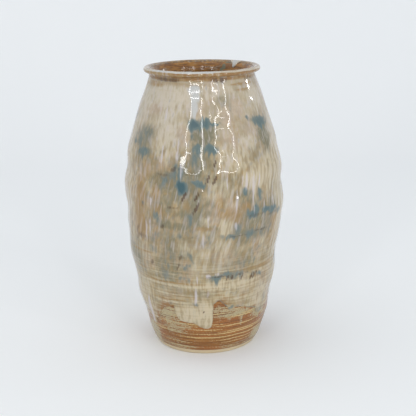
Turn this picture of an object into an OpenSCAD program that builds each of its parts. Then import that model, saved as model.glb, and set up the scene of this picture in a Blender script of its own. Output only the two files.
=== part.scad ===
// Wheel-thrown stoneware vase with a rolled lip, a tall barrel body and a turned foot.
// The pot is one thrown piece of clay. The glazes are thin glass coats fired onto it, each its own solid.
// Origin: centre of the foot, on the surface that the vase stands on. +Z points up through the mouth.

/* [Thrown form] */
// Height over the glazed lip
height = 280; // [260:1:300]
// Diameter of the foot on the table
foot_d = 100.5; // [90:0.5:106]
// Diameter just above the foot, where the turned heel ends
heel_d = 111; // [107:0.5:116]
// Diameter at the hip, under the glaze line
hip_d = 124; // [118:0.5:130]
// Diameter at the lower flank
flank_d = 140.5; // [134:0.5:146]
// Largest diameter of the bare clay, at the belly
belly_d = 154.5; // [148:0.5:162]
// Diameter at the shoulder
shoulder_d = 146.5; // [140:0.5:148]
// Diameter at the collar, where the shoulder turns up to the neck
collar_d = 123.5; // [118:0.5:130]
// Diameter of the neck, under the lip
neck_d = 101.5; // [98:0.5:106]

/* [Rolled lip] */
// Diameter over the glazed lip
lip_d = 113.4; // [108:0.2:118]
// Height of the rolled edge, glaze included
lip_h = 5.2; // [4:0.2:7]

/* [Wall] */
// Thickness of the wall near the foot
wall_low = 8; // [6:0.5:10]
// Thickness of the wall at the neck
wall_high = 4.5; // [4:0.5:6]
// Thickness of the floor
floor_t = 9; // [7:0.5:12]
// Rounding between the floor and the inside of the wall
corner_h = 18; // [10:1:24]

/* [Throwing ridges] */
// Height of a throwing ridge above the mean wall
ridge_h = 1.6; // [0:0.1:2]
// Distance from one ridge to the next
ridge_pitch = 37; // [28:1:46]

/* [Foot] */
// Width of the flat ring that the vase stands on
land_w = 9; // [6:0.5:14]
// Depth of the hollow turned into the underside
hollow_depth = 2.2; // [1:0.1:4]
// Height of the clay band that is wiped bare of glaze
bare_h = 5; // [3:0.5:10]

/* [Glaze] */
// Thickness of the coats together, and of the liner inside
glaze_t = 1; // [0.6:0.1:1.2]
// Thickness of the iron-brown base coat alone
base_t = 0.3; // [0.2:0.1:0.4]
// Height at which the cream coat ends, apart from its runs
glaze_line_h = 56; // [50:1:70]
// Thickness of a run, measured out from the base coat
run_t = 1.2; // [0.8:0.1:1.6]

/* [Hidden] */

// Facets round the vase, and the height between two rings of the outline
around = 120;
step_h = 4;

clay_color = [0.80, 0.71, 0.56];
liner_color = [0.50, 0.32, 0.13];
base_color = [0.56, 0.34, 0.15];
outer_color = [0.74, 0.69, 0.58];
run_color = [0.78, 0.71, 0.57];

// The form's stations, from the foot up: height, and radius of the bare clay
neck_h = height - 10;
form = [
    [0, foot_d / 2],
    [neck_h * 0.037, heel_d / 2],
    [neck_h * 0.13, hip_d / 2],
    [neck_h * 0.296, flank_d / 2],
    [neck_h * 0.556, belly_d / 2],
    [neck_h * 0.741, shoulder_d / 2],
    [neck_h * 0.889, collar_d / 2],
    [neck_h, neck_d / 2]
];
belly_h = form[4][0];
last = len(form) - 1;

// The rolled lip: centre of its bead, and the radius of the bead's clay
bead_clay_r = lip_h / 2 - glaze_t;
bead_x = lip_d / 2 - lip_h / 2;
bead_z = height - lip_h / 2;
bead_step = 15;

// The throat is the narrowest ring inside; from there the lip flares out to its crest.
// The outside coats lap over the crest as far as lap_steps of the flare, where the liner takes over.
throat_h = neck_h - 2;
flare_steps = 8;
lap_steps = 2;
foot_bevel = 0.8;
hollow_r = foot_d / 2 - foot_bevel - land_w;
hollow_slope = 2.5;

// Runs of thick glaze below the glaze line: angle from the front, half width, how far each reaches down.
// The first three overlap and make the one wide run at the front.
runs = [
    [-18, 7, 15],
    [-9, 9, 19],
    [0, 6, 25],
    [22, 5, 6],
    [54, 7, 15],
    [-52, 4, 27],
    [98, 5, 17],
    [136, 8, 12],
    [171, 4, 22],
    [-96, 6, 13],
    [-141, 7, 19]
];

// The pale run inside the lip, at the back right: its angle, half width, top and length
rim_run_at = 137;
rim_run_half_w = 7;
rim_run_top = height - 1.5;
rim_run_len = 6;
rim_run_t = 0.8;

// Slope of the form at a station, and the smooth curve through the stations
function slope(i) =
    let (a = form[max(i - 1, 0)], b = form[min(i + 1, last)])
    (b[1] - a[1]) / (b[0] - a[0]);
function span_at(z) = max([for (i = [0 : last - 1]) if (z >= form[i][0] || i == 0) i]);
function blend_r(i, h, t) =
    (2 * t ^ 3 - 3 * t ^ 2 + 1) * form[i][1]
    + (t ^ 3 - 2 * t ^ 2 + t) * h * slope(i)
    + (3 * t ^ 2 - 2 * t ^ 3) * form[i + 1][1]
    + (t ^ 3 - t ^ 2) * h * slope(i + 1);
function form_r(z) =
    let (i = span_at(z), h = form[i + 1][0] - form[i][0])
    blend_r(i, h, (z - form[i][0]) / h);

// The ridges are strongest round the belly and fade towards the foot and the neck
function fade(z) = sin(180 * min(max((z - 15) / (neck_h - 40), 0), 1));
function ridge(z) = ridge_h * fade(z) * cos(360 * (z - belly_h) / ridge_pitch);

// Radius of the outside at a height, under a coat of thickness t. It runs straight between the rings
// that stand step_h apart, so that the coats meet the clay and each other face to face.
function ring_r(k) = form_r(k * step_h) + ridge(k * step_h);
function outer_r(z, t) =
    let (k = floor(z / step_h), f = z / step_h - k)
    t + (1 - f) * ring_r(k) + (f == 0 ? 0 : f * ring_r(k + 1));

// Radius of the inside at a height, over a coat of thickness t
function wall_t(z) = wall_low + (wall_high - wall_low) * z / neck_h;
function corner_in(z, t) =
    let (rise = min((z - floor_t - t) / corner_h, 1))
    corner_h * (1 - sqrt(1 - (1 - rise) ^ 2));
function inner_r(z, t) = form_r(z) - wall_t(z) - t - corner_in(z, t);

// Outline of the wall's outside from one height up to another, and of the bead up to its crest
function wall_up(low, high, t) = concat(
    [[outer_r(low, t), low]],
    [
        for (k = [floor(low / step_h) + 1 : ceil(high / step_h) - 1])
            [outer_r(k * step_h, t), k * step_h]
    ],
    [[outer_r(high, t), high]]
);
function bead_up(t) = [
    for (a = [-150 : bead_step : 90])
        [bead_x + (bead_clay_r + t) * cos(a), bead_z + (bead_clay_r + t) * sin(a)]
];

// Outline of the flare inside the lip, from the crest inwards and down to the throat
function flare_down(t, from_step, to_step) =
    let (
        rise = bead_z + bead_clay_r + t - throat_h,
        reach = bead_x - inner_r(throat_h, t)
    )
    [
        for (k = [from_step : to_step])
            let (a = 90 * k / flare_steps)
            [bead_x - reach * sin(a), throat_h + rise * cos(a)]
    ];

// Outline of the outside from a height up, round the bead and over the crest to the lap
function outside(low, t) = concat(
    wall_up(low, neck_h, t),
    [[outer_r(neck_h, t) - 0.2, neck_h + 3 - t]],
    bead_up(t),
    flare_down(t, 1, lap_steps)
);

// Outline of the inside from the lap down to the middle of the floor
function wall_down(t) = [
    for (k = [1 : ceil((throat_h - floor_t - corner_h) / step_h)])
        let (z = max(throat_h - k * step_h, floor_t + corner_h))
        [inner_r(z, t), z]
];
function corner_down(t) = [
    for (k = [7 : -1 : 0])
        let (z = floor_t + t + corner_h * (1 - cos(90 * k / 8)))
        [inner_r(z, t), z]
];
function inside(t) = concat(
    flare_down(t, lap_steps, flare_steps),
    wall_down(t),
    corner_down(t),
    [[0, floor_t + t]]
);

// Outline of the underside, from the middle of the hollow to the bevelled edge of the foot
underside = [
    [0, hollow_depth],
    [hollow_r - hollow_slope, hollow_depth],
    [hollow_r, 0],
    [foot_d / 2 - foot_bevel, 0]
];

function reversed(points) = [for (i = [len(points) - 1 : -1 : 0]) points[i]];

// A solid of revolution from an outline in the half plane right of the axis
module turned(points) {
    rotate_extrude($fn = around)
        polygon(points);
}

// A prism pointing out from the axis at an angle from the front, for cutting a run out of a coat
module cutter(angle, outline) {
    reach = belly_d;
    rotate([0, 0, angle])
        rotate([90, 0, 0])
            linear_extrude(reach)
                polygon(outline);
}

// Outline of a run seen from outside: it narrows as it slides, and ends in a blunt tip
function run_outline(half_w, top, bottom) = [
    [-half_w, top],
    [-0.9 * half_w, bottom + 0.8 * half_w],
    [-0.5 * half_w, bottom + 0.15 * half_w],
    [0, bottom],
    [0.6 * half_w, bottom + 0.2 * half_w],
    [0.95 * half_w, bottom + 0.9 * half_w],
    [half_w, top]
];

// The thrown stoneware pot: floor, foot, wall, neck and rolled lip in one piece of clay
module clay_body() {
    color(clay_color)
        turned(concat(underside, outside(foot_bevel, 0), inside(0)));
}

// Amber liner glaze, poured in and out: it covers the whole inside up to the inner slope of the lip
module liner_glaze() {
    color(liner_color)
        turned(concat(reversed(inside(0)), inside(glaze_t)));
}

// Iron-brown base coat on the outside, from the bare band at the foot to just over the crest of the lip
module base_glaze() {
    color(base_color)
        turned(concat(outside(bare_h, base_t), reversed(outside(bare_h, 0))));
}

// Cream coat over the base coat, from the glaze line to just over the crest of the lip
module outer_glaze() {
    color(outer_color)
        turned(concat(outside(glaze_line_h, glaze_t), reversed(outside(glaze_line_h, base_t))));
}

// Thick runs of the cream coat, which slid below the glaze line in the kiln
module glaze_runs() {
    low = glaze_line_h - 30;
    coat = concat(
        wall_up(low, glaze_line_h, base_t + run_t),
        reversed(wall_up(low, glaze_line_h, base_t))
    );
    color(run_color)
        for (run = runs)
            intersection() {
                turned(coat);
                cutter(run[0], run_outline(run[1], glaze_line_h + 1, glaze_line_h - run[2]));
            }
}

// One pale run of the cream coat that slid over the lip and down the inside
module rim_run() {
    coat = concat(
        flare_down(glaze_t, lap_steps, flare_steps),
        reversed(flare_down(glaze_t + rim_run_t, lap_steps, flare_steps))
    );
    color(run_color)
        intersection() {
            turned(coat);
            cutter(
                rim_run_at,
                [[-rim_run_half_w, rim_run_top], [0, rim_run_top - rim_run_len], [rim_run_half_w, rim_run_top]]
            );
        }
}

clay_body();
liner_glaze();
base_glaze();
outer_glaze();
glaze_runs();
rim_run();
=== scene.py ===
"""A wheel-thrown stoneware vase, put together in the order in which the potter makes it: the clay pot
first, then each coat of glaze as it goes on. Metres, +Z up, the foot's centre at the origin."""
import math

import bpy
import numpy as np
from mathutils import Matrix, Vector


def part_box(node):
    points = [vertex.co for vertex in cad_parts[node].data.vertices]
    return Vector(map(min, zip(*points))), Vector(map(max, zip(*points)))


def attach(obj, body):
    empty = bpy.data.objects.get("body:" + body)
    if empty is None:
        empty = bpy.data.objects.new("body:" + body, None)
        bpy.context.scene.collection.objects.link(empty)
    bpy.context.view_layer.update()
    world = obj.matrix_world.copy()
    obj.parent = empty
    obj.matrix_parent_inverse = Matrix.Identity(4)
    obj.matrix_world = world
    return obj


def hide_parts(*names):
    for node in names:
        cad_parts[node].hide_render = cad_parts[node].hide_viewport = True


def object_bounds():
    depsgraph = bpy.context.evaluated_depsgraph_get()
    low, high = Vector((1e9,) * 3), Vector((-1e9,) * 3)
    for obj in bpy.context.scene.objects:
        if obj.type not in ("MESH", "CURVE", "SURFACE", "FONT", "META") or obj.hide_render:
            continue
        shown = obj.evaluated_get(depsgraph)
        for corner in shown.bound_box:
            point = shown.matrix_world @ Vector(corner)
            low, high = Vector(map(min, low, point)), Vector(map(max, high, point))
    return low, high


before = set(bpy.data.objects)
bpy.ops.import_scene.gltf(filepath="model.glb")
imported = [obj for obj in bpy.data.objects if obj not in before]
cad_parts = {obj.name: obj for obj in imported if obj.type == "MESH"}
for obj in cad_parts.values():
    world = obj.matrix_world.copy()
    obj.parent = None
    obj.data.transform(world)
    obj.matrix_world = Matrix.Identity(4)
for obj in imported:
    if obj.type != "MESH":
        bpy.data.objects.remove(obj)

cad_low, cad_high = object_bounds()
tall = cad_high.z
MM = 0.001


# ---- Camera ----
# A short telephoto on a stand, a little above the lip, looking down and tipped a touch to one side.

camera_place = Vector((0, -3.195, 1.35)) * tall
look_down = math.radians(15.11)
look_right = math.radians(0.245)
tip_left = math.radians(0.905)
bpy.ops.object.camera_add()
camera = bpy.context.object
camera.name = "studio_camera"
camera.data.lens = 79.4
camera.data.sensor_width = 36
camera.matrix_world = (
    Matrix.Translation(camera_place)
    @ Matrix.Rotation(-look_right, 4, "Z")
    @ Matrix.Rotation(math.radians(90) - look_down, 4, "X")
    @ Matrix.Rotation(-tip_left, 4, "Z")
)
bpy.context.scene.camera = camera
# The glazes keep the tones that they are mixed to.
bpy.context.scene.view_settings.view_transform = "Standard"


# ---- Studio ----
# A pale sweep of paper: flat under the vase, then curving up behind it. Soft light from all round.

sweep_near = -2.2
sweep_back = 1.5
sweep_width = 6
sweep_height = 2.4
sweep_round = 0.7
bpy.ops.object.select_all(action="DESELECT")
bpy.ops.mesh.primitive_plane_add(size=1, location=(0, (sweep_near + sweep_back) / 2, 0))
sweep = bpy.context.object
sweep.name = "paper_sweep"
sweep.scale = (sweep_width, sweep_back - sweep_near, 1)
bpy.ops.object.transform_apply(location=True, rotation=True, scale=True)
bpy.ops.object.mode_set(mode="EDIT")
bpy.ops.mesh.select_mode(type="EDGE")
bpy.ops.mesh.select_all(action="DESELECT")
bpy.ops.object.mode_set(mode="OBJECT")
for edge in sweep.data.edges:
    edge.select = all(sweep.data.vertices[v].co.y > sweep_back - MM for v in edge.vertices)
bpy.ops.object.mode_set(mode="EDIT")
bpy.ops.mesh.extrude_region_move(TRANSFORM_OT_translate={"value": (0, 0, sweep_height)})
bpy.ops.object.mode_set(mode="OBJECT")
for edge in sweep.data.edges:
    ends = [sweep.data.vertices[v].co for v in edge.vertices]
    edge.select = all(end.y > sweep_back - MM and end.z < MM for end in ends)
bpy.ops.object.mode_set(mode="EDIT")
bpy.ops.mesh.bevel(offset=sweep_round, segments=24, affect="EDGES")
bpy.ops.object.mode_set(mode="OBJECT")
bpy.ops.object.shade_smooth()


# Every finish is mixed with this one wrapper: sums on it are written as plain expressions.
class Wire:
    """One socket of a material's node tree. Sums on wires add Math nodes; node() adds any other."""

    def __init__(self, tree, socket=None):
        self.tree = tree
        self.socket = socket

    def node(self, kind, settings, values, output=0):
        """Adds a node: its settings first, then a value or a wire for each named socket."""
        made = self.tree.nodes.new("ShaderNode" + kind)
        for name, value in settings.items():
            setattr(made, name, value)
        for name, value in values.items():
            if isinstance(value, Wire):
                self.tree.links.new(value.socket, made.inputs[name])
            else:
                made.inputs[name].default_value = value
        return Wire(self.tree, made.outputs[output])

    def math(self, operation, first, second):
        return self.node("Math", {"operation": operation}, {0: first, 1: second})

    def __add__(self, other):
        return self.math("ADD", self, other)

    __radd__ = __add__

    def __sub__(self, other):
        return self.math("SUBTRACT", self, other)

    def __rsub__(self, other):
        return self.math("SUBTRACT", other, self)

    def __mul__(self, other):
        return self.math("MULTIPLY", self, other)

    __rmul__ = __mul__

    def attribute(self, name):
        """A value stored on the piece's own points."""
        return self.node("Attribute", {"attribute_name": name}, {}, "Fac")

    def step(self, low, high):
        """0 below low, 1 above high, and smooth between."""
        settings = {"interpolation_type": "SMOOTHSTEP", "clamp": True}
        return self.node("MapRange", settings, {"Value": self, "From Min": low, "From Max": high})

    def over(self, colour, under):
        """This wire as a mask: colour where it is 1, under where it is 0."""
        values = {0: self}
        for socket, tone in ((6, under), (7, colour)):
            values[socket] = tone if isinstance(tone, Wire) else (*tone, 1)
        return self.node("Mix", {"data_type": "RGBA", "clamp_factor": True}, values, 2)

    def height(self):
        """Height above the foot, in metres."""
        place = self.node("TexCoord", {}, {}, "Object")
        return self.node("SeparateXYZ", {}, {"Vector": place}, "Z")

    def grain(self, stretch, detail=3, lean=0):
        """Noise on the piece's own place, stretched by a size in metres along each axis. lean turns the
        pattern round the pot by that many radians between the flank and the shoulder."""
        place = self.node("TexCoord", {}, {}, "Object")
        if lean:
            turned = {"Vector": place, "Angle": self.height().step(0.08, 0.205) * lean}
            place = self.node("VectorRotate", {"rotation_type": "Z_AXIS"}, turned)
        spread = {"Vector": place, "Scale": tuple(1 / size for size in stretch)}
        place = self.node("Mapping", {"vector_type": "POINT"}, spread)
        values = {"Vector": place, "Scale": 1, "Detail": detail, "Roughness": 0.55}
        return self.node("TexNoise", {}, values, 0)


def finish(name, roughness):
    """A new material with its shader: returns the material, the shader and a wire to build on."""
    material = bpy.data.materials.new(name)
    material.use_nodes = True
    shader = material.node_tree.nodes["Principled BSDF"]
    shader.inputs["Roughness"].default_value = roughness
    return material, shader, Wire(material.node_tree)


def feed(shader, wires):
    """Joins wires to the shader's sockets by name."""
    for socket, wire in wires.items():
        wire.tree.links.new(wire.socket, shader.inputs[socket])


paper, paper_shader, wire = finish("paper", 0.9)
paper_shader.inputs["Specular IOR Level"].default_value = 0.1
mottle = wire.grain((0.6, 0.6, 0.6), detail=1)
feed(paper_shader, {"Base Color": mottle.over((0.90, 0.905, 0.915), (0.89, 0.895, 0.905))})
sweep.data.materials.append(paper)

sky = bpy.data.worlds.new("studio_surround")
sky.use_nodes = True
sky.node_tree.nodes["Background"].inputs["Color"].default_value = (0.905, 0.96, 1, 1)
sky.node_tree.nodes["Background"].inputs["Strength"].default_value = 0.69
bpy.context.scene.world = sky


def soft_light(name, place, aim, width, height, watts, colour=(1, 1, 1)):
    """An area light at a place, facing a point."""
    bpy.ops.object.light_add(type="AREA", location=place)
    lamp = bpy.context.object
    lamp.name = name
    lamp.data.shape = "RECTANGLE"
    lamp.data.size = width
    lamp.data.size_y = height
    lamp.data.energy = watts
    lamp.data.color = colour
    lamp.rotation_euler = (Vector(aim) - Vector(place)).to_track_quat("-Z", "Y").to_euler()
    return lamp


middle = (0, 0, tall * 0.5)
soft_light("overhead_softbox", (-0.7, 0.1, 1.8), middle, 1.8, 1.8, 6, (1, 0.955, 0.895))

# Two tall windows behind the camera: only their thin bright frames show, as outlines in the glaze. Each
# bar is an area light, this far from the vase and as bright per square metre as bar_glow says.
frame_far = 2.2
bar_wide = 0.042
bar_glow = 66
aim_height = 0.22


def window_bar(name, turn, rise, wide, high, glow=1):
    """One bright bar of a window, at an angle round the vase and an angle above its middle."""
    turn = math.radians(turn)
    rise = math.radians(rise)
    flat = frame_far * math.cos(rise)
    place = (flat * math.sin(turn), -flat * math.cos(turn), aim_height + frame_far * math.sin(rise))
    soft_light(name, place, (0, 0, aim_height), wide, high, bar_glow * glow * wide * high)


# Each window: its left and right side in degrees, and its cross bars as (height in degrees, start, end).
windows = {
    "left": (-26, -1, ((1, 0, 1), (14, 0, 0.3), (34, 0, 0.7))),
    "right": (21, 48, ((1, 0, 1), (13, 0.1, 0.6), (24, 0, 0.6), (34, 0, 0.4))),
}
for side, (left, right, cross_bars) in windows.items():
    for edge_name, turn in (("near", left), ("far", right)):
        window_bar(f"window_{side}_{edge_name}_bar", turn, 17.5, bar_wide, 1.3)
    for k, (rise, start, end) in enumerate(cross_bars):
        turn = left + (right - left) * (start + end) / 2
        long = frame_far * math.radians(right - left) * (end - start)
        window_bar(f"window_{side}_cross_bar_{k}", turn, rise, long, bar_wide * 0.7, 0.8)
# One more bar at the side shows as a short streak under the lip.
window_bar("side_bar", 110, 17.55, 0.08, 0.13, 1.8)


# ---- Thrown clay pot ----
# Buff stoneware, thrown in one piece and turned at the foot, bare where it was wiped clean of glaze.
# The wall follows the potter's fingers: one ridge climbs round and round it.

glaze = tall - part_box("clay_body")[1].z
base_coat = 0.3 * glaze
bare_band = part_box("base_glaze")[0].z
foot_hollow = 2.2 * MM
floor_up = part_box("liner_glaze")[0].z
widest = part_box("outer_glaze")[1].x

# Mean form of the bare clay from the foot to the neck, as (height, radius) in millimetres.
form = [(0, 50.2), (10, 55.4), (35, 62.1), (80, 70.3), (150, 77.3), (200, 73.2), (240, 61.7), (270, 50.8)]
neck = 270 * MM
throat = 268 * MM
bead_height = 2.6 * MM
bead_at = (54.1 * MM, tall - bead_height)
wall_low, wall_high = 8 * MM, 4.5 * MM
corner = 18 * MM
# The trimming tool worked up to here, and the skins are finer below it.
trimmed_to = 62 * MM
# How much of the flare inside the lip the outside coats cover: 0 is the crest and 1 the throat.
lap = 0.36

# How far the wall leans out on the right as the fingers climb, as (height, shift) in millimetres.
finger_marks = [
    (0, 0), (24, 0.35), (36, 0.8), (54, -1.05), (69, 0.1), (79, -0.2), (97, -1.6), (119, 0), (130, 0.5),
    (146, 1.4), (158, 0.1), (170, -0.6), (184, 1.3), (199, -0.35), (215, 0.1), (232, -0.3), (246, -0.1),
    (257, 0.3), (270, 0),
]
finger_rise = 37 * MM


def smooth_curve(points, at):
    """Value at a place, or at many, on the smooth curve through (place, value) points."""
    place, value = (np.array(column, float) for column in zip(*points))
    at = np.clip(at, place[0], place[-1])
    after = np.append(place[1:], place[-1])
    before = np.append(place[0], place[:-1])
    slope = (np.append(value[1:], value[-1]) - np.append(value[0], value[:-1])) / (after - before)
    i = np.clip(np.searchsorted(place, at, side="right") - 1, 0, len(place) - 2)
    h = place[i + 1] - place[i]
    t = (at - place[i]) / h
    return (
        (2 * t**3 - 3 * t**2 + 1) * value[i]
        + (t**3 - 2 * t**2 + t) * h * slope[i]
        + (3 * t**2 - 2 * t**3) * value[i + 1]
        + (t**3 - t**2) * h * slope[i + 1]
    )


def form_radius(height):
    """Mean radius of the bare clay at a height."""
    return smooth_curve(form, np.asarray(height) / MM) * MM


def soft_noise(spots, seed):
    """Smooth noise from -1 to 1 at each of many spots, about one unit from a high to a low."""
    table = np.random.default_rng(seed).uniform(-1, 1, (64, 64, 64))
    cell = np.floor(spots).astype(int)
    part = spots - cell
    part = part * part * (3 - 2 * part)
    total = 0
    for ahead in np.ndindex(2, 2, 2):
        share = np.prod(np.where(ahead, part, 1 - part), axis=1)
        total = total + share * table[tuple(((cell + ahead) % 64).T)]
    return total


def on_wall(angle, height, radius):
    """Places at these angles from the front, heights and distances from the axis."""
    return np.stack([np.sin(angle) * radius, -np.cos(angle) * radius, height + 0 * angle], axis=1)


def rings(angle, height, size, stretch=0.5, seed=1):
    """Level streaks from -1 to 1: long round the pot, and about size from one to the next up it."""
    return soft_noise(on_wall(angle, height / size, stretch), seed)


def lumps(angle, height, size, seed=2):
    """Soft lumps from -1 to 1, about size across."""
    return soft_noise(on_wall(angle, height, form_radius(height)) / size, seed)


# Heights of the grooves that the trimming tool left in the lower wall, in millimetres.
tool_marks = [8.5, 13.5, 16.8, 20.5, 24.5, 26.5, 29.5, 33, 35.5, 38.5, 42, 44, 47.5, 50.5, 53.5]


def tool_cut(angle, height):
    """1 at the bottom of a trimming groove and 0 away from one."""
    sway = 0.9 * rings(angle, 0 * height, 1, 1.6, 3) + 0.3 * rings(angle, height, 30 * MM, 6, 4)
    deep = 0 * angle
    for k, mark in enumerate(tool_marks):
        off = height / MM - mark - sway
        patchy = np.clip(0.55 + 0.75 * rings(angle, 0 * height, 1, 1.8, 20 + k), 0.05, 1)
        deep = np.maximum(deep, patchy * np.exp(-((off / 0.65) ** 2)))
    return deep


def thrown(angle, height, filled=False):
    """How far the clay stands out from its mean form. A thick coat fills the fine grooves."""
    side = smooth_curve(finger_marks, height / MM) * MM
    front = smooth_curve(finger_marks, (height - finger_rise / 4) / MM) * MM
    above_foot = np.clip(height / (8 * MM), 0, 1)
    below_lip = np.clip((neck - height) / (12 * MM), 0, 1)
    spiral = np.sin(angle) * side + 0.3 * np.cos(angle) * front
    wave = 0.34 * MM * lumps(angle, height, 8.5 * MM) + 0.03 * MM * lumps(angle, height, 4 * MM, 7)
    shape = above_foot * (spiral + below_lip * wave)
    if filled:
        return shape + 0.03 * MM * rings(angle, height, 1.7 * MM)
    low = np.clip((trimmed_to - height) / (8 * MM), 0, 1) * np.clip(height / (4 * MM), 0.2, 1)
    fine = 0.05 * MM * rings(angle, height, 0.7 * MM, 1.5, 4)
    return shape + low * (fine - 0.4 * MM * tool_cut(angle, height))


def lathe(name, outline, turns=240, wedges=12):
    """A skin turned round the wheel's axis from an outline of (radius, height) points."""
    bpy.ops.object.select_all(action="DESELECT")
    bpy.ops.mesh.primitive_circle_add(vertices=3, radius=MM, location=(0, 0, 0))
    skin = bpy.context.object
    skin.name = name
    bpy.ops.object.mode_set(mode="EDIT")
    bpy.ops.mesh.select_mode(type="VERT")
    bpy.ops.mesh.select_all(action="SELECT")
    bpy.ops.mesh.merge(type="CENTER")
    here = (0, 0)
    for k, point in enumerate(outline):
        move = {"value": (point[0] - here[0], 0, point[1] - here[1])}
        if k == 0:
            bpy.ops.transform.translate(**move)
        else:
            bpy.ops.mesh.extrude_region_move(TRANSFORM_OT_translate=move)
        here = point
    # One wedge is spun first, and then the wedge round the wheel, which is much quicker than one full spin.
    wedge = 2 * math.pi / wedges
    axle = {"center": (0, 0, 0), "axis": (0, 0, 1)}
    bpy.ops.mesh.select_all(action="SELECT")
    bpy.ops.mesh.spin(steps=turns // wedges, angle=wedge, **axle)
    bpy.ops.mesh.select_all(action="SELECT")
    bpy.ops.mesh.spin(steps=wedges - 1, angle=2 * math.pi - wedge, dupli=True, **axle)
    bpy.ops.mesh.select_all(action="SELECT")
    bpy.ops.mesh.remove_doubles(threshold=0.01 * MM)
    bpy.ops.mesh.normals_make_consistent(inside=False)
    bpy.ops.object.mode_set(mode="OBJECT")
    bpy.ops.object.transform_apply(location=True, rotation=True, scale=True)
    bpy.ops.object.shade_smooth()
    return skin


def points_of(piece):
    """The angle from the front, the height and the distance from the axis of each of a piece's points."""
    place = np.empty(len(piece.data.vertices) * 3)
    piece.data.vertices.foreach_get("co", place)
    x, y, z = place.reshape(-1, 3).T
    return np.arctan2(x, -y), z, np.hypot(x, y)


def press(piece, outward, height):
    """Moves a piece's points outward from the axis and to these heights, inside the CAD's own width."""
    angle, _, radius = points_of(piece)
    radius = np.clip(radius + outward * (radius > MM), 0, widest)
    piece.data.vertices.foreach_set("co", on_wall(angle, height, radius).ravel())
    piece.data.update()


def climb(low, high, step):
    """Heights from low to high, no more than a step apart."""
    return np.linspace(low, high, max(2, math.ceil((high - low) / step) + 1))


def wall_outline(heights, coat):
    """Outline of the wall's outside under a coat of this thickness."""
    return [(float(form_radius(z)) + coat, float(z)) for z in heights]


def lip_outline(coat):
    """Outline under the rolled lip, round its bead and a part of the way down the flare inside."""
    centre, up = bead_at
    round_edge = bead_height - glaze + coat
    under = (float(form_radius(neck)) + coat - 0.2 * MM, neck + 3 * MM - coat)
    bead = [
        (centre + round_edge * math.cos(math.radians(a)), up + round_edge * math.sin(math.radians(a)))
        for a in range(-150, 91, 10)
    ]
    return [under] + bead + flare_outline(coat, 0, lap)[1:]


def inner_radius(height, coat):
    """Radius of the inside of the wall, over a coat of this thickness."""
    wall = wall_low + (wall_high - wall_low) * height / neck
    rise = np.clip((height - floor_up - coat) / corner, 0, 1)
    return form_radius(height) - wall - coat - corner * (1 - np.sqrt(1 - (1 - rise) ** 2))


def flare_outline(coat, start, end, steps=10):
    """Outline of the flare inside the lip: 0 is the crest and 1 the throat."""
    top = bead_at[1] + bead_height - glaze + coat
    reach = bead_at[0] - float(inner_radius(throat, coat))
    turns = np.linspace(start, end, steps) * math.pi / 2
    return [(bead_at[0] - reach * math.sin(a), throat + (top - throat) * math.cos(a)) for a in turns]


def inside_outline(coat, start, step):
    """Outline of the inside from the flare down to the middle of the floor."""
    down = climb(floor_up + coat + corner, throat, step)[-2::-1]
    wall = [(float(inner_radius(z, coat)), float(z)) for z in down]
    turn = [floor_up + coat + corner * (1 - math.cos(math.radians(a))) for a in range(81, -1, -9)]
    bend = [(float(inner_radius(z, coat)), z) for z in turn]
    floor = [(r * bend[-1][0], floor_up + coat) for r in (0.75, 0.5, 0.25, 0)]
    return flare_outline(coat, start, 1) + wall + bend + floor


foot_edge = form[0][1] * MM
hollow = [(r * MM, foot_hollow) for r in (0, 5, 10, 15, 20, 24, 28, 31, 34, 36.5, 37.95)]
flat_ring = [(r * MM, 0) for r in (40.45, 44, 47)]
rounded_edge = [(foot_edge - 1 * MM, 0), (foot_edge - 0.4 * MM, 0.15 * MM)]
underside = hollow + flat_ring + rounded_edge
upper_heights = climb(trimmed_to, neck, 5 * MM)[1:]
clay_wall = wall_outline(climb(0.8 * MM, trimmed_to, 0.6 * MM), 0) + wall_outline(upper_heights, 0)
clay = lathe("clay_pot", underside + clay_wall + lip_outline(0) + inside_outline(0, lap, 5 * MM))
angle, height, radius = points_of(clay)
turning = 0.1 * MM * rings(0 * angle, radius, 1.1 * MM, 0, 5)
under = (height < foot_hollow + MM) & (radius < 40 * MM)
press(clay, thrown(angle, height), height + np.where(under, turning, 0))


def bump(wire, strength, distance):
    """Turns a height into a normal."""
    return wire.node("Bump", {}, {"Strength": strength, "Distance": distance, "Height": wire})


clay_finish, shader, wire = finish("bare_stoneware", 0.8)
speck = wire.grain((0.7 * MM, 0.7 * MM, 0.5 * MM), detail=2)
cloud = wire.grain((14 * MM, 14 * MM, 4 * MM), detail=2)
scratch = wire.grain((9 * MM, 9 * MM, 0.5 * MM), detail=3)
tone = cloud.over((0.59, 0.47, 0.30), (0.65, 0.54, 0.36))
tone = (scratch.step(0.52, 0.7) * 0.4).over((0.50, 0.35, 0.20), tone)
tone = (speck.step(0.66, 0.74) * 0.6).over((0.30, 0.18, 0.09), tone)
feed(shader, {"Base Color": tone, "Normal": bump(speck + scratch, 0.35, 0.2 * MM)})
clay.data.materials.append(clay_finish)
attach(clay, "root")
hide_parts("clay_body")


# ---- Iron-brown base coat ----
# A thin iron-bearing glaze, dipped over the outside. It shows below the cream coat, where it breaks
# pale on the ridges of the trimming grooves. The dark line under the lip is painted shade in the cream
# coat's colours.

lower_heights = climb(bare_band, trimmed_to, 0.5 * MM)
outer_face = wall_outline(lower_heights, base_coat) + wall_outline(upper_heights, base_coat)
outer_face += lip_outline(base_coat)
inner_face = wall_outline(climb(bare_band, neck, 5 * MM), 0) + lip_outline(0)
base = lathe("iron_base_coat", outer_face + inner_face[::-1] + outer_face[:1])
angle, height, radius = points_of(base)
press(base, thrown(angle, height), height)


def smooth_mask(value, low, high):
    """0 below low, 1 above high, and smooth between."""
    share = np.clip((value - low) / (high - low), 0, 1)
    return share * share * (3 - 2 * share)


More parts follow.
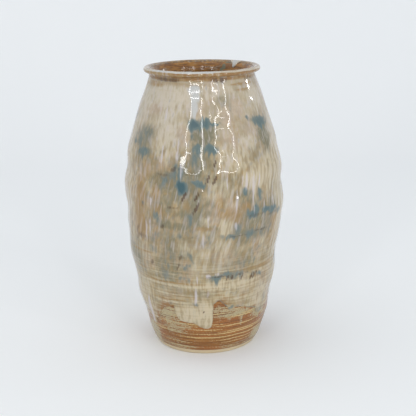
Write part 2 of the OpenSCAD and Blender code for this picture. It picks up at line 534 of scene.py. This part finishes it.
def marks(angle, height, places, lean=0, ragged=1):
    """How strongly a colour shows at each point, where it was laid in soft dabs. Each place is
    (degrees from the front, height, half width in degrees, half height, strength), in millimetres."""
    wide_drip = soft_noise(on_wall(angle, height / (14 * MM), 50), 31)
    thin_drip = soft_noise(on_wall(angle, height / (6 * MM), 90), 32)
    long_drip = soft_noise(on_wall(angle, height / (30 * MM), 28), 35)
    down = ragged * (1.6 * (wide_drip + 0.5 * thin_drip) + 1.3 * lumps(angle, height, 5 * MM, 33))
    aside = ragged * 1.1 * lumps(angle, height, 6 * MM, 34)
    drip_down = ragged * np.clip(0.5 + 1.6 * long_drip, 0, 2)
    strength = 0 * angle
    for turn, up, wide, high, strong in places:
        rise = height / MM + down - up
        side = (np.degrees(angle) + aside - turn + 180) % 360 - 180 - lean * rise
        hang = np.where(rise < 0, 1 + drip_down, 1)
        far = np.hypot(side / wide, rise / high / hang)
        strength = np.maximum(strength, strong * smooth_mask(-far, -1.7, -0.4))
    return strength


def store(piece, **values):
    """Keeps values on a piece's points, for its finish to read."""
    for name, value in values.items():
        piece.data.attributes.new(name, "FLOAT", "POINT").data.foreach_set("value", value)


# Where cream glaze ran thin into the grooves below the cream coat's edge.
spills = [
    (-40, 48, 18, 10, 1), (-58, 36, 12, 7, 0.9), (-30, 30, 16, 6, 0.75), (-60, 22, 14, 6, 0.6),
    (-35, 14, 20, 3, 0.5), (-64, 18, 12, 12, 1.15), (62, 13, 13, 8, 1), (-45, 8, 40, 3.5, 0.65),
    (45, 8, 40, 3.5, 0.65), (12, 51, 8, 5, 0.9), (25, 46, 20, 5, 0.9), (54, 42, 12, 6, 1),
    (33, 38, 0.9, 4, 1.2), (66, 34, 8, 3, 0.8), (90, 50, 16, 6, 0.9), (112, 44, 10, 6, 0.8),
    (135, 48, 14, 7, 0.9), (160, 44, 10, 8, 0.8), (185, 47, 18, 6, 0.9), (214, 45, 12, 8, 0.8),
    (240, 50, 15, 6, 0.9), (262, 44, 12, 7, 0.9), (285, 40, 12, 8, 0.9),
]
angle, height, radius = points_of(base)
store(base, groove=tool_cut(angle, height), spill=marks(angle, height, spills, ragged=0.6))

base_finish, shader, wire = finish("iron_glaze", 0.22)
shader.inputs["Specular IOR Level"].default_value = 0.65
band = wire.grain((40 * MM, 40 * MM, 0.9 * MM), detail=3)
wide_band = wire.grain((34 * MM, 34 * MM, 5 * MM), detail=2)
speckle = wire.grain((1.5 * MM, 1.5 * MM, 0.8 * MM), detail=3)
freckle = wire.grain((0.9 * MM, 0.9 * MM, 0.7 * MM), detail=1)
in_groove = (wire.attribute("groove") + (speckle - 0.5) * 1.6).step(0.2, 0.7)
spilled = (wire.attribute("spill") + (band - 0.5) * 2.6 + (speckle - 0.5) * 1.8).step(0.5, 0.95)
tone = wide_band.step(0.42, 0.6).over((0.29, 0.096, 0.014), (0.25, 0.09, 0.009))
tone = (band.step(0.49, 0.36) * 0.85).over((0.12, 0.043, 0.012), tone)
tone = (band.step(0.53, 0.66) * 0.5).over((0.38, 0.20, 0.05), tone)
tone = (speckle.step(0.56, 0.68) * 0.5).over((0.39, 0.23, 0.075), tone)
tone = (in_groove * 0.95).over((0.58, 0.415, 0.175), tone)
tone = (spilled * 0.9).over((0.42, 0.36, 0.21), tone)
tone = (freckle.step(0.66, 0.72) * 0.75).over((0.07, 0.035, 0.018), tone)
feed(shader, {"Base Color": tone, "Normal": bump(band + speckle, 0.3, 0.15 * MM)})
base.data.materials.append(base_finish)
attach(base, "root")
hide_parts("base_glaze")


# ---- Amber liner ----
# An amber glaze poured in and out again: it covers the whole inside up to the lip's inner slope.

inner_skin = inside_outline(glaze, lap, 2.5 * MM)
backing = inside_outline(0, lap, 5 * MM)
liner = lathe("amber_liner", inner_skin + backing[::-1] + inner_skin[:1])
angle, height, radius = points_of(liner)
press(liner, thrown(angle, height), height)

green_dribble = [
    (151.5, 274, 2.6, 2.6, 1), (154.5, 271, 2.5, 1.6, 0.9), (147, 278, 4, 0.9, 0.9),
    (60, 230, 6, 20, 0.8),
]
angle, height, radius = points_of(liner)
store(liner, green=marks(angle, height, green_dribble, ragged=0.4))

liner_finish, shader, wire = finish("amber_glaze", 0.12)
streak = wire.grain((16 * MM, 16 * MM, 1.3 * MM), detail=4)
soft_streak = wire.grain((11 * MM, 11 * MM, 2.6 * MM), detail=3)
pool = wire.grain((9 * MM, 9 * MM, 5 * MM), detail=3)
tone = soft_streak.step(0.38, 0.62).over((0.36, 0.165, 0.035), (0.20, 0.085, 0.025))
tone = (streak.step(0.47, 0.36) * 0.7).over((0.11, 0.05, 0.02), tone)
tone = (pool.step(0.56, 0.7) * 0.6).over((0.32, 0.25, 0.17), tone)
tone = (wire.attribute("green").step(0.3, 0.8) * 0.8).over((0.13, 0.15, 0.10), tone)
feed(shader, {"Base Color": tone, "Normal": bump(streak, 0.25, 0.3 * MM)})
liner.data.materials.append(liner_finish)
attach(liner, "root")
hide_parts("liner_glaze")


# ---- Cream top coat ----
# A thick cream glaze poured over the outside. It ran in the kiln: lavender where it streamed down, blue
# where it pooled on the throwing ridges, khaki and amber where it lies thin. It ends above the foot.
# Its colours also hold painted shade under the lip, a painted reflection on its crest and painted light
# on the sides of the pot.

cream_edge = [
    (-180, 50), (-150, 54), (-120, 47), (-100, 51), (-80, 41), (-66, 32), (-58, 31), (-50, 35), (-44, 42),
    (-38, 50), (-30, 54), (-20, 56), (-8, 57), (5, 57), (7.5, 59), (11, 61.5), (15, 57), (20, 53.5),
    (32, 51), (44, 47), (52, 42), (60, 39), (70, 43), (90, 53), (120, 49), (150, 55), (180, 50),
]
edge_low = 50 * MM
edge_high = 90 * MM


def cream_line(angle):
    """Height at which the cream coat ends, at each angle."""
    return smooth_curve(cream_edge, np.degrees(angle)) * MM + 0.9 * MM * rings(angle, 0 * angle, 1, 12, 6)


outer_face = wall_outline(climb(edge_low, neck, 1.2 * MM), glaze) + lip_outline(glaze)
inner_face = wall_outline(climb(edge_low, neck, 4 * MM), base_coat) + lip_outline(base_coat)
outer_face[0] = (outer_face[0][0] - 0.6 * glaze, outer_face[0][1])
inner_face[0] = (inner_face[0][0] - 0.4 * MM, inner_face[0][1])
cream = lathe("cream_top_coat", outer_face + inner_face[::-1] + outer_face[:1], turns=288)
angle, level, radius = points_of(cream)
line = cream_line(angle)
share = np.clip((level - edge_low) / (edge_high - edge_low), 0, 1)
height = np.where(level < edge_high, line + share * (edge_high - line), level)
press(cream, thrown(angle, height, filled=True) + form_radius(height) - form_radius(level), height)

# Where the glaze shows each of its colours on the front: (degrees from the front, height, half width in
# degrees, half height, strength). Heights are in millimetres.
blue_pools = [
    (-7, 233, 5, 5, 1.15), (1.5, 234, 5, 4, 1.1), (9, 233.5, 5, 1.3, 0.9), (5, 211, 4.5, 4, 1),
    (-5, 212, 3.5, 4, 0.9), (-6, 203, 4.5, 7, 0.65), (55, 232, 10, 4.5, 1), (40, 236, 1.3, 2.5, 0.9),
    (-50, 224, 7, 5, 0.55), (-60, 217, 8, 6, 0.6), (-50, 206, 7, 4.5, 0.8), (-64, 213, 5, 4, 0.7),
    (-18, 190, 4, 7, 0.8), (-16, 178, 4.5, 4.5, 1.3), (-5, 181, 5, 2, 0.9), (-1.5, 178.5, 3.5, 2.5, 1),
    (-28, 183, 4, 3.5, 0.7), (-22, 188, 7, 4, 0.6), (-30, 177, 5, 3, 0.5), (30, 170, 2, 3.5, 0.95),
    (42, 166, 2.8, 5, 0.9), (38, 153, 3, 5, 0.9), (30.5, 150, 1.6, 4, 0.85), (35, 148, 4, 3, 1.2),
    (48, 149, 4, 3, 1.2), (56, 147, 5, 3, 1.2), (64, 143, 5, 2.5, 0.8), (-36, 146, 3.5, 6, 0.85),
    (-9.5, 147, 2, 6, 0.8), (12.5, 155, 1.6, 1.6, 0.7), (-48, 158, 1.6, 1.6, 0.7), (-38, 127, 5, 5, 0.55),
    (-19, 128, 2.5, 3, 0.7), (2, 127, 2.5, 4, 0.7), (18, 128.5, 7, 2.2, 0.85), (23, 137, 3, 5, 0.8),
    (34, 130, 5, 3.5, 0.85), (45, 128, 6, 3.5, 0.65), (54, 130, 3, 5, 0.65), (-43, 113, 3, 4, 0.65),
    (-38, 112, 3, 3, 0.55), (-10.5, 108.5, 2, 4, 0.8), (-14, 98, 4, 3, 0.75), (-29, 99, 3, 5, 0.65),
    (-26, 108, 2, 4, 0.65), (-32, 90, 3.5, 9, 0.6), (45, 112, 3, 2.5, 0.65), (29, 98, 2.5, 3.5, 0.65),
    (35, 98, 2.5, 3, 0.65), (40, 101, 1.4, 3, 0.6), (8, 87, 5, 3, 1), (17, 89.5, 5, 2.5, 0.9),
    (24, 88, 2, 5, 0.8), (29, 88, 2, 4, 0.85), (38, 86.5, 5, 1.6, 0.7), (46, 84, 4, 2.5, 0.85),
    (52, 79, 2.5, 3, 0.6), (-17, 85, 7, 2.5, 0.55), (-8, 58.5, 2.3, 2, 0.8), (7.5, 59, 1.4, 2, 0.8),
    (11, 61.5, 3, 1.1, 0.7), (15, 57.5, 1.6, 2, 0.7), (22, 53.5, 5, 1.8, 0.8), (29, 53, 2.5, 1.2, 0.7),
    (60, 54, 3, 4, 0.6), (54, 43, 6, 4, 0.5),
]
khaki_patches = [
    (-24, 186, 14, 7, 0.8), (58, 150, 15, 9, 0.8), (-64, 100, 12, 15, 0.7), (62, 165, 10, 8, 0.5),
    (-12, 186, 16, 9, 0.7), (-32, 181, 12, 8, 0.55), (33, 164, 10, 7, 0.6), (60, 152, 8, 8, 0.6),
    (-60, 112, 10, 12, 0.45), (-10, 178, 14, 5, 0.8), (1, 224, 8, 9, 0.9), (14, 180, 9, 5, 0.5),
    (-14, 172, 14, 12, 0.6), (-2, 205, 11, 12, 0.6), (-4, 158, 14, 12, 0.55), (-16, 195, 8, 10, 0.6),
    (36, 145, 22, 12, 0.6), (12, 132, 12, 6, 0.5), (38, 128, 18, 7, 0.6), (-5, 128, 14, 9, 0.4),
    (5, 98, 26, 9, 0.4), (25, 98, 18, 8, 0.5), (-20, 112, 14, 8, 0.6), (-3, 222, 6, 6, 0.9),
    (5, 227, 5, 8, 0.8), (20, 256, 8, 8, 0.5), (-8, 168, 8, 14, 0.7), (-5, 190, 5, 7, 0.8),
    (-30, 160, 8, 8, 0.6), (-52, 221, 13, 11, 0.62), (57, 219, 9, 11, 0.9), (-8, 150, 10, 9, 0.7),
    (-24, 139, 16, 4, 0.7), (10, 137, 13, 3, 0.6), (-22, 118, 13, 16, 0.55), (-28, 95, 14, 18, 0.6),
    (28, 108, 17, 10, 0.45), (48, 136, 16, 10, 0.5), (-25, 72, 20, 9, 0.35), (-3, 71, 9, 5, 0.6),
    (-28, 62, 15, 4, 0.35), (-48, 203, 8, 12, 0.4), (40, 206, 14, 6, 0.35), (38, 160, 12, 14, 0.4),
]
amber_patches = [
    (-50, 165, 5, 20, 0.8), (-54, 150, 5, 10, 0.9), (-52, 135, 7, 12, 1), (-45, 190, 5, 8, 0.6),
    (-25, 186, 10, 8, 0.45), (11, 160, 3, 8, 0.9), (30, 155, 4, 5, 0.7), (60, 133, 4, 8, 0.9),
    (0, 137, 6, 2, 0.7), (64, 138, 4, 8, 0.9), (-35, 170, 4, 9, 0.6), (22, 150, 5, 8, 0.6),
    (-12, 160, 3, 6, 0.5), (28, 228, 8, 14, 0.35), (58, 120, 8, 8, 0.5), (-33, 153, 4, 6, 0.7),
    (16, 152, 8, 5, 0.6),
]
# Pale glaze. The patches at the sides, from about 58° to 72° from the front, are painted light too: they
# lighten the sides of the pot as if more light fell there.
pale_patches = [
    (-35, 258, 27, 9, 0.9), (10, 262, 26, 5, 0.6), (-30, 228, 11, 20, 0.7), (25, 203, 15, 11, 0.6),
    (35, 216, 8, 6, 0.6), (-72, 180, 12, 60, 0.5), (72, 180, 14, 50, 0.8), (46, 183, 18, 9, 1),
    (62, 190, 14, 14, 0.8), (12, 120, 9, 14, 0.45), (58, 256, 12, 8, 0.9), (-60, 255, 12, 9, 0.8),
    (-62, 236, 9, 8, 0.6), (-14, 119, 8, 7, 0.5), (3, 110, 9, 8, 0.4), (20, 79.5, 28, 4.5, 0.7),
    (-52, 111, 9, 7, 0.4), (12, 176, 8, 8, 0.5), (0, 45, 9, 14, 1), (-16, 47, 10, 10, 0.8),
    (10, 68, 30, 5, 0.35), (14, 139, 5, 7, 0.8), (2, 145, 4, 4, 0.6), (52, 60, 14, 12, 0.6),
    (-58, 58, 12, 18, 0.5), (46, 119, 3, 5, 0.7), (-7, 100, 4, 12, 0.5),
]
# Level lines that the fingers left in the wet glaze, amber in the hollows and pale on the ridges.
amber_lines = [
    (-52, 266, 16, 1.6, 1), (-38, 262, 14, 0.8, 0.7), (45, 266.5, 15, 1, 1.1), (48, 261.5, 15, 1, 1.1),
    (0, 266, 18, 0.7, 0.6), (55, 91, 13, 1.7, 1.1), (35, 91.5, 10, 1.6, 0.7), (-55, 108, 14, 1.1, 1),
    (-25, 80, 40, 1.1, 0.9), (22, 76, 34, 0.8, 0.6), (-20, 93, 30, 0.8, 0.5), (20, 64.5, 40, 0.8, 0.7),
    (-32, 62, 18, 1, 0.9), (-14, 66, 14, 0.7, 0.6), (-38, 70, 18, 0.8, 0.6), (-60, 90, 14, 0.9, 0.7),
    (120, 79, 40, 1.1, 0.8), (190, 82, 40, 1, 0.8), (250, 77, 40, 1.1, 0.8), (150, 94, 30, 1, 0.6),
    (230, 95, 30, 1, 0.6), (130, 265, 20, 1, 0.9), (200, 262, 22, 1, 0.8), (270, 266, 20, 1.2, 0.9),
]
pale_lines = [
    (-20, 77.3, 55, 1, 1), (20, 73.5, 34, 1, 0.7), (-25, 89.5, 30, 0.9, 0.5), (15, 62, 30, 0.9, 0.7),
    (-35, 59.5, 18, 1, 0.9), (-38, 67.5, 18, 0.9, 0.7), (10, 93, 26, 0.8, 0.5), (50, 87.5, 14, 1, 0.6),
    (125, 76, 40, 1, 0.8), (200, 79, 40, 1, 0.8), (255, 74, 30, 1, 0.8), (160, 64, 40, 1, 0.6),
]
milky_run = [(-7.5, 263, 5.5, 4, 0.9), (-7, 257, 4, 6, 1), (-7, 249, 2.6, 7, 1), (-7, 243, 1.6, 5, 0.9)]
brown_strokes = [
    (-14, 168, 0.9, 4.5, 1.3), (-5, 168, 0.8, 4, 1.3), (-5.5, 157, 1, 5, 1.3), (3, 184, 0.8, 4, 1.3),
    (8, 184, 0.9, 3.4, 1.3), (8.5, 199, 0.7, 4, 1), (-20, 98, 1.2, 4, 0.9), (-43, 99, 1.6, 3, 0.8),
    (-18.5, 107, 1.6, 3, 0.7), (-22, 157, 4, 1.6, 0.7), (-31, 137, 1.6, 3, 0.7), (17, 86, 1, 3, 1),
    (21, 86, 1, 2.4, 0.9), (29, 84, 1, 3.4, 0.9), (38, 83.5, 1.2, 4, 1), (41.5, 84, 1.2, 3.6, 1),
    (43.5, 86, 1, 3, 0.9), (10, 87.8, 12, 0.7, 0.6), (32, 87.8, 9, 0.7, 0.7), (-58, 122, 3, 4, 0.6),
    (-52, 123, 4, 3.5, 0.7), (38, 146, 9, 1.6, 0.45), (56, 143, 9, 1.6, 0.45), (-20, 193, 5, 2, 0.6),
    (-30, 187, 6, 1.5, 0.6), (-50, 152, 1.2, 8, 0.6), (-57, 128, 2, 8, 0.6), (24, 128, 8, 0.8, 0.6),
    (44, 130, 8, 1, 0.6), (-14, 128, 9, 0.8, 0.5), (-2, 50.5, 0.9, 1.2, 0.8), (-28, 46.5, 1.4, 0.9, 0.9),
    (-30, 58, 1.2, 1.5, 0.7),
]
lavender_streams = [
    (-32, 241, 1, 6, 0.8), (-38, 219, 1, 12, 0.7), (-31, 207, 0.9, 10, 0.9), (-19, 208, 1.2, 10, 0.8),
    (-16, 192, 0.9, 8, 0.9), (16.5, 182, 0.8, 9, 0.8), (28, 182, 0.8, 7, 0.8), (31, 180, 0.9, 9, 0.9),
    (36.5, 170, 1, 20, 0.9), (42, 178, 0.8, 8, 0.8), (3, 145, 0.8, 6, 0.9), (-1, 127, 0.9, 8, 0.9),
    (-46, 132, 1, 14, 0.9), (-42, 138, 0.9, 9, 0.9), (-40, 161, 1.2, 4, 0.9), (23, 165, 0.9, 11, 0.8),
    (46, 157, 0.9, 8, 0.8), (57, 154, 1.2, 7, 0.7), (-8, 67, 0.9, 9, 1.3), (2, 70, 1, 5, 0.8),
    (-6.5, 85, 0.8, 4, 0.9), (-56, 43, 2.4, 17, 1), (22, 139, 1, 4, 0.9), (8, 124, 0.8, 7, 0.6),
    (2, 89, 2.5, 2, 0.8), (9, 91, 2, 1.5, 0.7),
]
# Round the sides and the back the same marks are strewn by a seeded draw: the heights that each kind keeps
# to, how many, and the range of its half widths and half heights.
strewn = np.random.default_rng(7)
for heights, how_many, wide, high, kind in (
    ((232, 210, 186, 168, 148, 128, 108, 88), 44, (2, 8), (2, 6), blue_pools),
    ((240, 215, 190, 160, 135, 110, 85), 22, (5, 14), (5, 12), khaki_patches),
    ((230, 200, 165, 150, 135, 106, 92), 18, (3, 12), (1.5, 12), amber_patches),
    ((258, 225, 200, 175, 140, 118, 80, 60), 26, (6, 14), (4, 12), pale_patches),
    ((185, 165, 155, 105, 88), 22, (0.9, 1.8), (2, 4), brown_strokes),
    ((240, 215, 190, 175, 150, 130, 90, 65), 60, (0.7, 1.3), (5, 14), lavender_streams),
):
    for _ in range(how_many):
        up = strewn.choice(heights) + strewn.normal(0, 3)
        kind.append((
            strewn.uniform(72, 288), up, strewn.uniform(*wide), strewn.uniform(*high),
            strewn.uniform(0.6, 1),
        ))


def colour_glaze(piece, pools_at_edge=False):
    """Stores where a piece of the running glaze shows each of its colours, painted shade and reflection
    too.
    """
    angle, height, radius = points_of(piece)
    bead = np.degrees(np.arctan2(height - bead_at[1], radius - bead_at[0]))
    bead = bead + 9 * lumps(angle, height, 7 * MM, 41)
    on_lip = smooth_mask(height / MM, 270.5, 272)
    off_lip = 1 - on_lip
    # At the back the cream stops short of the crest, and more of the lip's inside there is amber.
    behind = 34 * smooth_mask(-np.cos(angle), -0.3, 0.3)
    crest = on_lip * smooth_mask(bead, 8, 30) * smooth_mask(-bead - behind, -78, -56)
    # Partly glaze, partly painted reflection: the crest turns milky white in patches, most at the front.
    milky_lip = 0.9 * smooth_mask(lumps(angle, height, 17 * MM, 46) + 0.7 * np.cos(angle), 0.1, 0.9)
    above_edge = (height - cream_line(angle)) / MM
    by_pool = smooth_mask(np.abs(np.degrees(angle) + 10.5), 17, 21)
    left_of_pool = smooth_mask(-np.abs(np.degrees(angle) + 39), -17, -10)
    in_places = smooth_mask(lumps(angle, height, 9 * MM, 42), -0.3, 0.4)
    pooled = (1 - left_of_pool) * by_pool * smooth_mask(-above_edge, -2.6, -0.8) * in_places
    near_edge = smooth_mask(-above_edge, -15, -1)
    thin = by_pool * near_edge * smooth_mask(lumps(angle, height, 16 * MM, 44), -0.3, 0.5)
    thin = np.maximum(thin, left_of_pool * near_edge)
    if not pools_at_edge:
        pooled = thin = 0 * angle
    # Painted shade: the lip's inner slope and the groove under the bead are darkened, where shadow falls.
    inner_slope = on_lip * smooth_mask(bead, 80, 100) * smooth_mask(-radius / MM, -54, -53)
    shadow_below_bead = smooth_mask(height / MM, 268.6, 270.5) * smooth_mask(-height / MM, -275, -273.5)
    shadow_below_bead = shadow_below_bead * smooth_mask(lumps(angle, height, 14 * MM, 45), -0.6, 0.3)
    shaded = 0.5 * inner_slope + 0.75 * shadow_below_bead * (1 - inner_slope)
    thin = np.maximum(thin, 0.85 * on_lip * (1 - crest))
    # The blue is greyer and thinner low on the pot, where the coat is mixed with the iron below.
    fading = 0.82 + 0.18 * smooth_mask(height / MM, 135, 185)
    run_dry = smooth_mask(rings(angle, height, 2.4 * MM, 2, 43), 0.1, 0.6)
    run_dry = run_dry * smooth_mask(height / MM, 262, 268)
    amber = marks(angle, height, amber_patches, ragged=0.5)
    amber = np.maximum(amber, marks(angle, height, amber_lines, ragged=0.1))
    amber = off_lip * np.maximum(amber, 0.6 * run_dry)
    pale = marks(angle, height, pale_patches)
    pale = np.maximum(pale, marks(angle, height, pale_lines, ragged=0.1))
    store(
        piece,
        blue=off_lip * np.maximum(marks(angle, height, blue_pools) * fading, 0.6 * pooled),
        khaki=off_lip * marks(angle, height, khaki_patches),
        amber=np.maximum(amber, 1.3 * on_lip * (1 - crest)),
        # Pale glaze, and painted light on the sides of the pot.
        pale=np.maximum(off_lip * pale, crest),
        # Milky glaze, and the painted reflection on the crest.
        milky=np.maximum(off_lip * marks(angle, height, milky_run, ragged=0.3), crest * milky_lip),
        # Brown strokes, and painted shade under the bead and on the lip's inner slope.
        brown=np.maximum(off_lip * marks(angle, height, brown_strokes, lean=0.35, ragged=0.35), shaded),
        lavender=off_lip * marks(angle, height, lavender_streams, lean=0.03, ragged=0.3),
        thin=thin,
    )


colour_glaze(cream, pools_at_edge=True)

cream_finish, shader, wire = finish("cream_glaze", 0.06)
cloud = wire.grain((12 * MM, 12 * MM, 12 * MM), detail=2, lean=-0.25)
mottle = wire.grain((5 * MM, 5 * MM, 11 * MM), detail=2, lean=-0.25)
stream = wire.grain((2.8 * MM, 2.8 * MM, 26 * MM), detail=1, lean=-0.25)
ragged = wire.grain((3 * MM, 3 * MM, 7 * MM), detail=2, lean=-0.25)
blush = wire.grain((16 * MM, 16 * MM, 26 * MM), detail=2)
level_line = wire.grain((30 * MM, 30 * MM, 2 * MM), detail=3)
fine_speck = wire.grain((0.8 * MM, 0.8 * MM, 0.8 * MM), detail=1)
fleck = wire.grain((3.6 * MM, 3.6 * MM, 6 * MM), detail=2, lean=-0.25)
# 1 on the lower wall, where the fingers left level lines, and 1 on the smoother shoulder.
low_wall = 1 - wire.height().step(0.08, 0.125)
shoulder = wire.height().step(0.19, 0.23)


def showing(name, low=0.1, high=0.85, blur=0.9):
    """Mask of a stored colour, soft at its edge and broken up by the running of the glaze."""
    return (wire.attribute(name) + (ragged - 0.5) * blur + (stream - 0.5) * blur).step(low, high)


lively = 1 - shoulder * 0.65
not_pale = 1 - wire.attribute("pale") * 0.85
tone = cloud.step(0.4, 0.6).over((0.45, 0.36, 0.225), (0.31, 0.24, 0.135))
tone = (mottle.step(0.54, 0.38) * lively * 0.35).over((0.21, 0.175, 0.105), tone)
tone = (shoulder * 0.5).over((0.46, 0.40, 0.31), tone)
tone = (low_wall * 0.42).over((0.40, 0.31, 0.155), tone)
tone = (blush.step(0.45, 0.65) * 0.45).over((0.49, 0.375, 0.30), tone)
tone = (fleck.step(0.54, 0.68) * lively * 0.45).over((0.44, 0.28, 0.11), tone)
tone = (fleck.step(0.46, 0.32) * lively * 0.45).over((0.26, 0.27, 0.25), tone)
tone = (showing("khaki") * 0.85).over((0.155, 0.15, 0.095), tone)
tone = (showing("amber") * 0.8).over((0.32, 0.195, 0.07), tone)
# Pale glaze, with painted light on the sides of the pot.
pale_tone = shoulder.over((0.55, 0.485, 0.385), (0.56, 0.475, 0.33))
tone = (showing("pale") * 0.8).over(pale_tone, tone)
tone = (stream.step(0.48, 0.36) * lively * 0.36).over((0.23, 0.15, 0.065), tone)
pale_stream = low_wall.over((0.55, 0.46, 0.33), (0.56, 0.49, 0.48))
tone = (stream.step(0.53, 0.68) * 0.34).over(pale_stream, tone)
amber_line = level_line.step(0.5, 0.64) * (0.06 + 0.45 * low_wall) * not_pale
tone = amber_line.over((0.26, 0.18, 0.085), tone)
tone = (level_line.step(0.5, 0.38) * (0.35 * low_wall)).over((0.54, 0.46, 0.32), tone)
through = wire.attribute("thin") * (level_line + (mottle - 0.5) * 0.8).step(0.44, 0.58)
tone = (through * 0.9).over((0.26, 0.125, 0.035), tone)
blue = wire.attribute("blue")
pool_tone = blue.step(0.35, 0.8).over((0.11, 0.16, 0.16), (0.19, 0.19, 0.155))
pool_tone = blue.step(0.85, 1.25).over((0.035, 0.095, 0.12), pool_tone)
tone = (showing("blue", 0.12, 0.85, 1.0) * 0.9).over(pool_tone, tone)
# Milky glaze, with the painted reflection on the lip's crest.
tone = (showing("milky", 0.1, 0.8, 0.7) * 0.85).over((0.50, 0.50, 0.49), tone)
tone = (showing("lavender", 0.3, 0.95, 0.6) * 0.7).over((0.58, 0.53, 0.55), tone)
# Brown strokes, with painted shade under the lip's bead and on its inner slope.
tone = (showing("brown", 0.25, 0.95, 0.9) * 0.8).over((0.08, 0.04, 0.02), tone)
tone = (fine_speck.step(0.72, 0.78) * 0.35).over((0.13, 0.085, 0.045), tone)
feed(shader, {"Base Color": tone, "Normal": bump(stream + cloud, 0.08, 0.3 * MM)})
cream.data.materials.append(cream_finish)
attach(cream, "root")
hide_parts("outer_glaze")


# ---- Runs below the cream coat ----
# The same cream glaze where it slid on down over the iron coat and froze, thick and round-edged. The wide
# one at the front is a pool that ends in a blunt tip.

run_top = 64 * MM
front_pool = [
    (-27.5, 60), (-26.5, 47), (-24.5, 40), (-18, 37.5), (-10, 36.5), (-6, 33.5), (-1, 31.2), (3, 31.8),
    (5, 35), (6, 45), (6.4, 60),
]
# The others hang like tongues: angle, half width in degrees, and height of the tip.
tongues = [
    (22, 5, 49), (54, 7, 38), (-56, 4, 28), (98, 5, 39), (136, 8, 44), (171, 4, 34), (-96, 6, 43),
    (-141, 7, 37),
]
tongue_shape = [
    (-1, 60), (-0.92, 16), (-0.7, 5), (-0.35, 0.8), (0, 0), (0.4, 1.2), (0.75, 5), (0.94, 15), (1, 60),
]
run_outlines = [front_pool]
for turn, wide, tip in tongues:
    run_outlines.append([(turn + wide * x, min(60, tip + up * wide / 6)) for x, up in tongue_shape])


def flat_slab(name, across, along):
    """A closed slab from -0.5 to 0.5 across and along, 1 thick, ready to be laid on a wall."""
    bpy.ops.object.select_all(action="DESELECT")
    bpy.ops.mesh.primitive_grid_add(x_subdivisions=across, y_subdivisions=along, size=1, location=(0, 0, 0))
    slab = bpy.context.object
    slab.name = name
    bpy.ops.object.mode_set(mode="EDIT")
    bpy.ops.mesh.select_mode(type="FACE")
    bpy.ops.mesh.select_all(action="SELECT")
    bpy.ops.mesh.extrude_region_move(TRANSFORM_OT_translate={"value": (0, 0, 1)})
    bpy.ops.object.mode_set(mode="OBJECT")
    place = np.empty(len(slab.data.vertices) * 3)
    slab.data.vertices.foreach_get("co", place)
    return slab, place.reshape(-1, 3).T


def close_up(piece):
    """Merges what touches, points the faces outwards and shades the piece smooth."""
    bpy.ops.object.select_all(action="DESELECT")
    piece.select_set(True)
    bpy.context.view_layer.objects.active = piece
    bpy.ops.object.mode_set(mode="EDIT")
    bpy.ops.mesh.select_all(action="SELECT")
    bpy.ops.mesh.remove_doubles(threshold=0.01 * MM)
    bpy.ops.mesh.normals_make_consistent(inside=False)
    bpy.ops.object.mode_set(mode="OBJECT")
    bpy.ops.object.shade_smooth()


run_pieces = []
for outline in run_outlines:
    start, end = outline[0][0], outline[-1][0]
    run, (across, along, up) = flat_slab("glaze_run", max(16, round((end - start) * 1.8)), 40)
    turn = start + (across + 0.5) * (end - start)
    low_edge = smooth_curve(outline, turn) * MM
    # The rows crowd towards the lower edge, where the glaze rounds off.
    height = low_edge + (along + 0.5) ** 1.6 * (run_top - low_edge)
    angle = np.radians(turn)
    inset = np.clip((height - low_edge) / (2.6 * MM), 0, 1)
    round_edge = np.sqrt(1 - (1 - inset) ** 2)
    swollen = np.clip((56 * MM - height) / (8 * MM), 0, 1)
    thick = (glaze - base_coat - 0.03 * MM + 0.3 * MM * swollen) * round_edge
    out = np.where(up > 0.5, base_coat + thick, base_coat - 0.5 * MM)
    radius = form_radius(height) + thrown(angle, height, filled=True) + out
    run.data.vertices.foreach_set("co", on_wall(angle, height, radius).ravel())
    close_up(run)
    run_pieces.append(run)
for run in run_pieces:
    run.select_set(True)
bpy.ops.object.join()
runs = bpy.context.object
runs.name = "glaze_runs_below_edge"
colour_glaze(runs)
runs.data.materials.append(cream_finish)
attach(runs, "root")
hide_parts("glaze_runs")


# ---- Run inside the lip ----
# A wedge of the cream glaze that slid over the lip at the back and stopped on the amber liner.

rim_run, (across, along, up) = flat_slab("rim_glaze_run", 24, 24)
rim_run_turn = 137.5
rim_run_wide = 7.5
fall = 0.5 - along
half_wide = rim_run_wide * np.clip(1 - fall**1.4 + 0.12 * np.sin(9 * fall), 0.03, 1)
turn = rim_run_turn + 2 * across * half_wide + 0.5 * np.sin(7 * fall)
# How far it lies down the flare, from the crest of the lip at 0 to the throat at a right angle.
slope = math.pi / 2 * (0.16 + 0.56 * fall)
reach = bead_at[0] - float(inner_radius(throat, glaze))
rim = np.minimum((0.5 - np.abs(across)) * 5, np.minimum(fall * 8 + 0.2, (1 - fall) * 6))
out = np.where(up > 0.5, 0.7 * MM * np.sqrt(1 - (1 - np.clip(rim, 0, 1)) ** 2) + 0.02 * MM, -0.3 * MM)
radius = bead_at[0] - (reach + out) * np.sin(slope)
height = np.minimum(throat + (tall - throat + out) * np.cos(slope), tall)
rim_run.data.vertices.foreach_set("co", on_wall(np.radians(turn), height, radius).ravel())
close_up(rim_run)
none = np.zeros(len(rim_run.data.vertices))
angle, height, radius = points_of(rim_run)
side = np.abs(np.degrees(angle) - rim_run_turn) / rim_run_wide
border = smooth_mask(side + (tall - height) / (7 * MM), 0.85, 1.05)
cream_part = smooth_mask(side + (tall - height) / (16 * MM), 0.4, 0.65)
store(rim_run, pale=cream_part, milky=1 - cream_part, brown=0.7 * border)
store(rim_run, blue=none, khaki=none, amber=none, lavender=none, thin=none)
rim_run.data.materials.append(cream_finish)
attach(rim_run, "root")
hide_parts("rim_run")
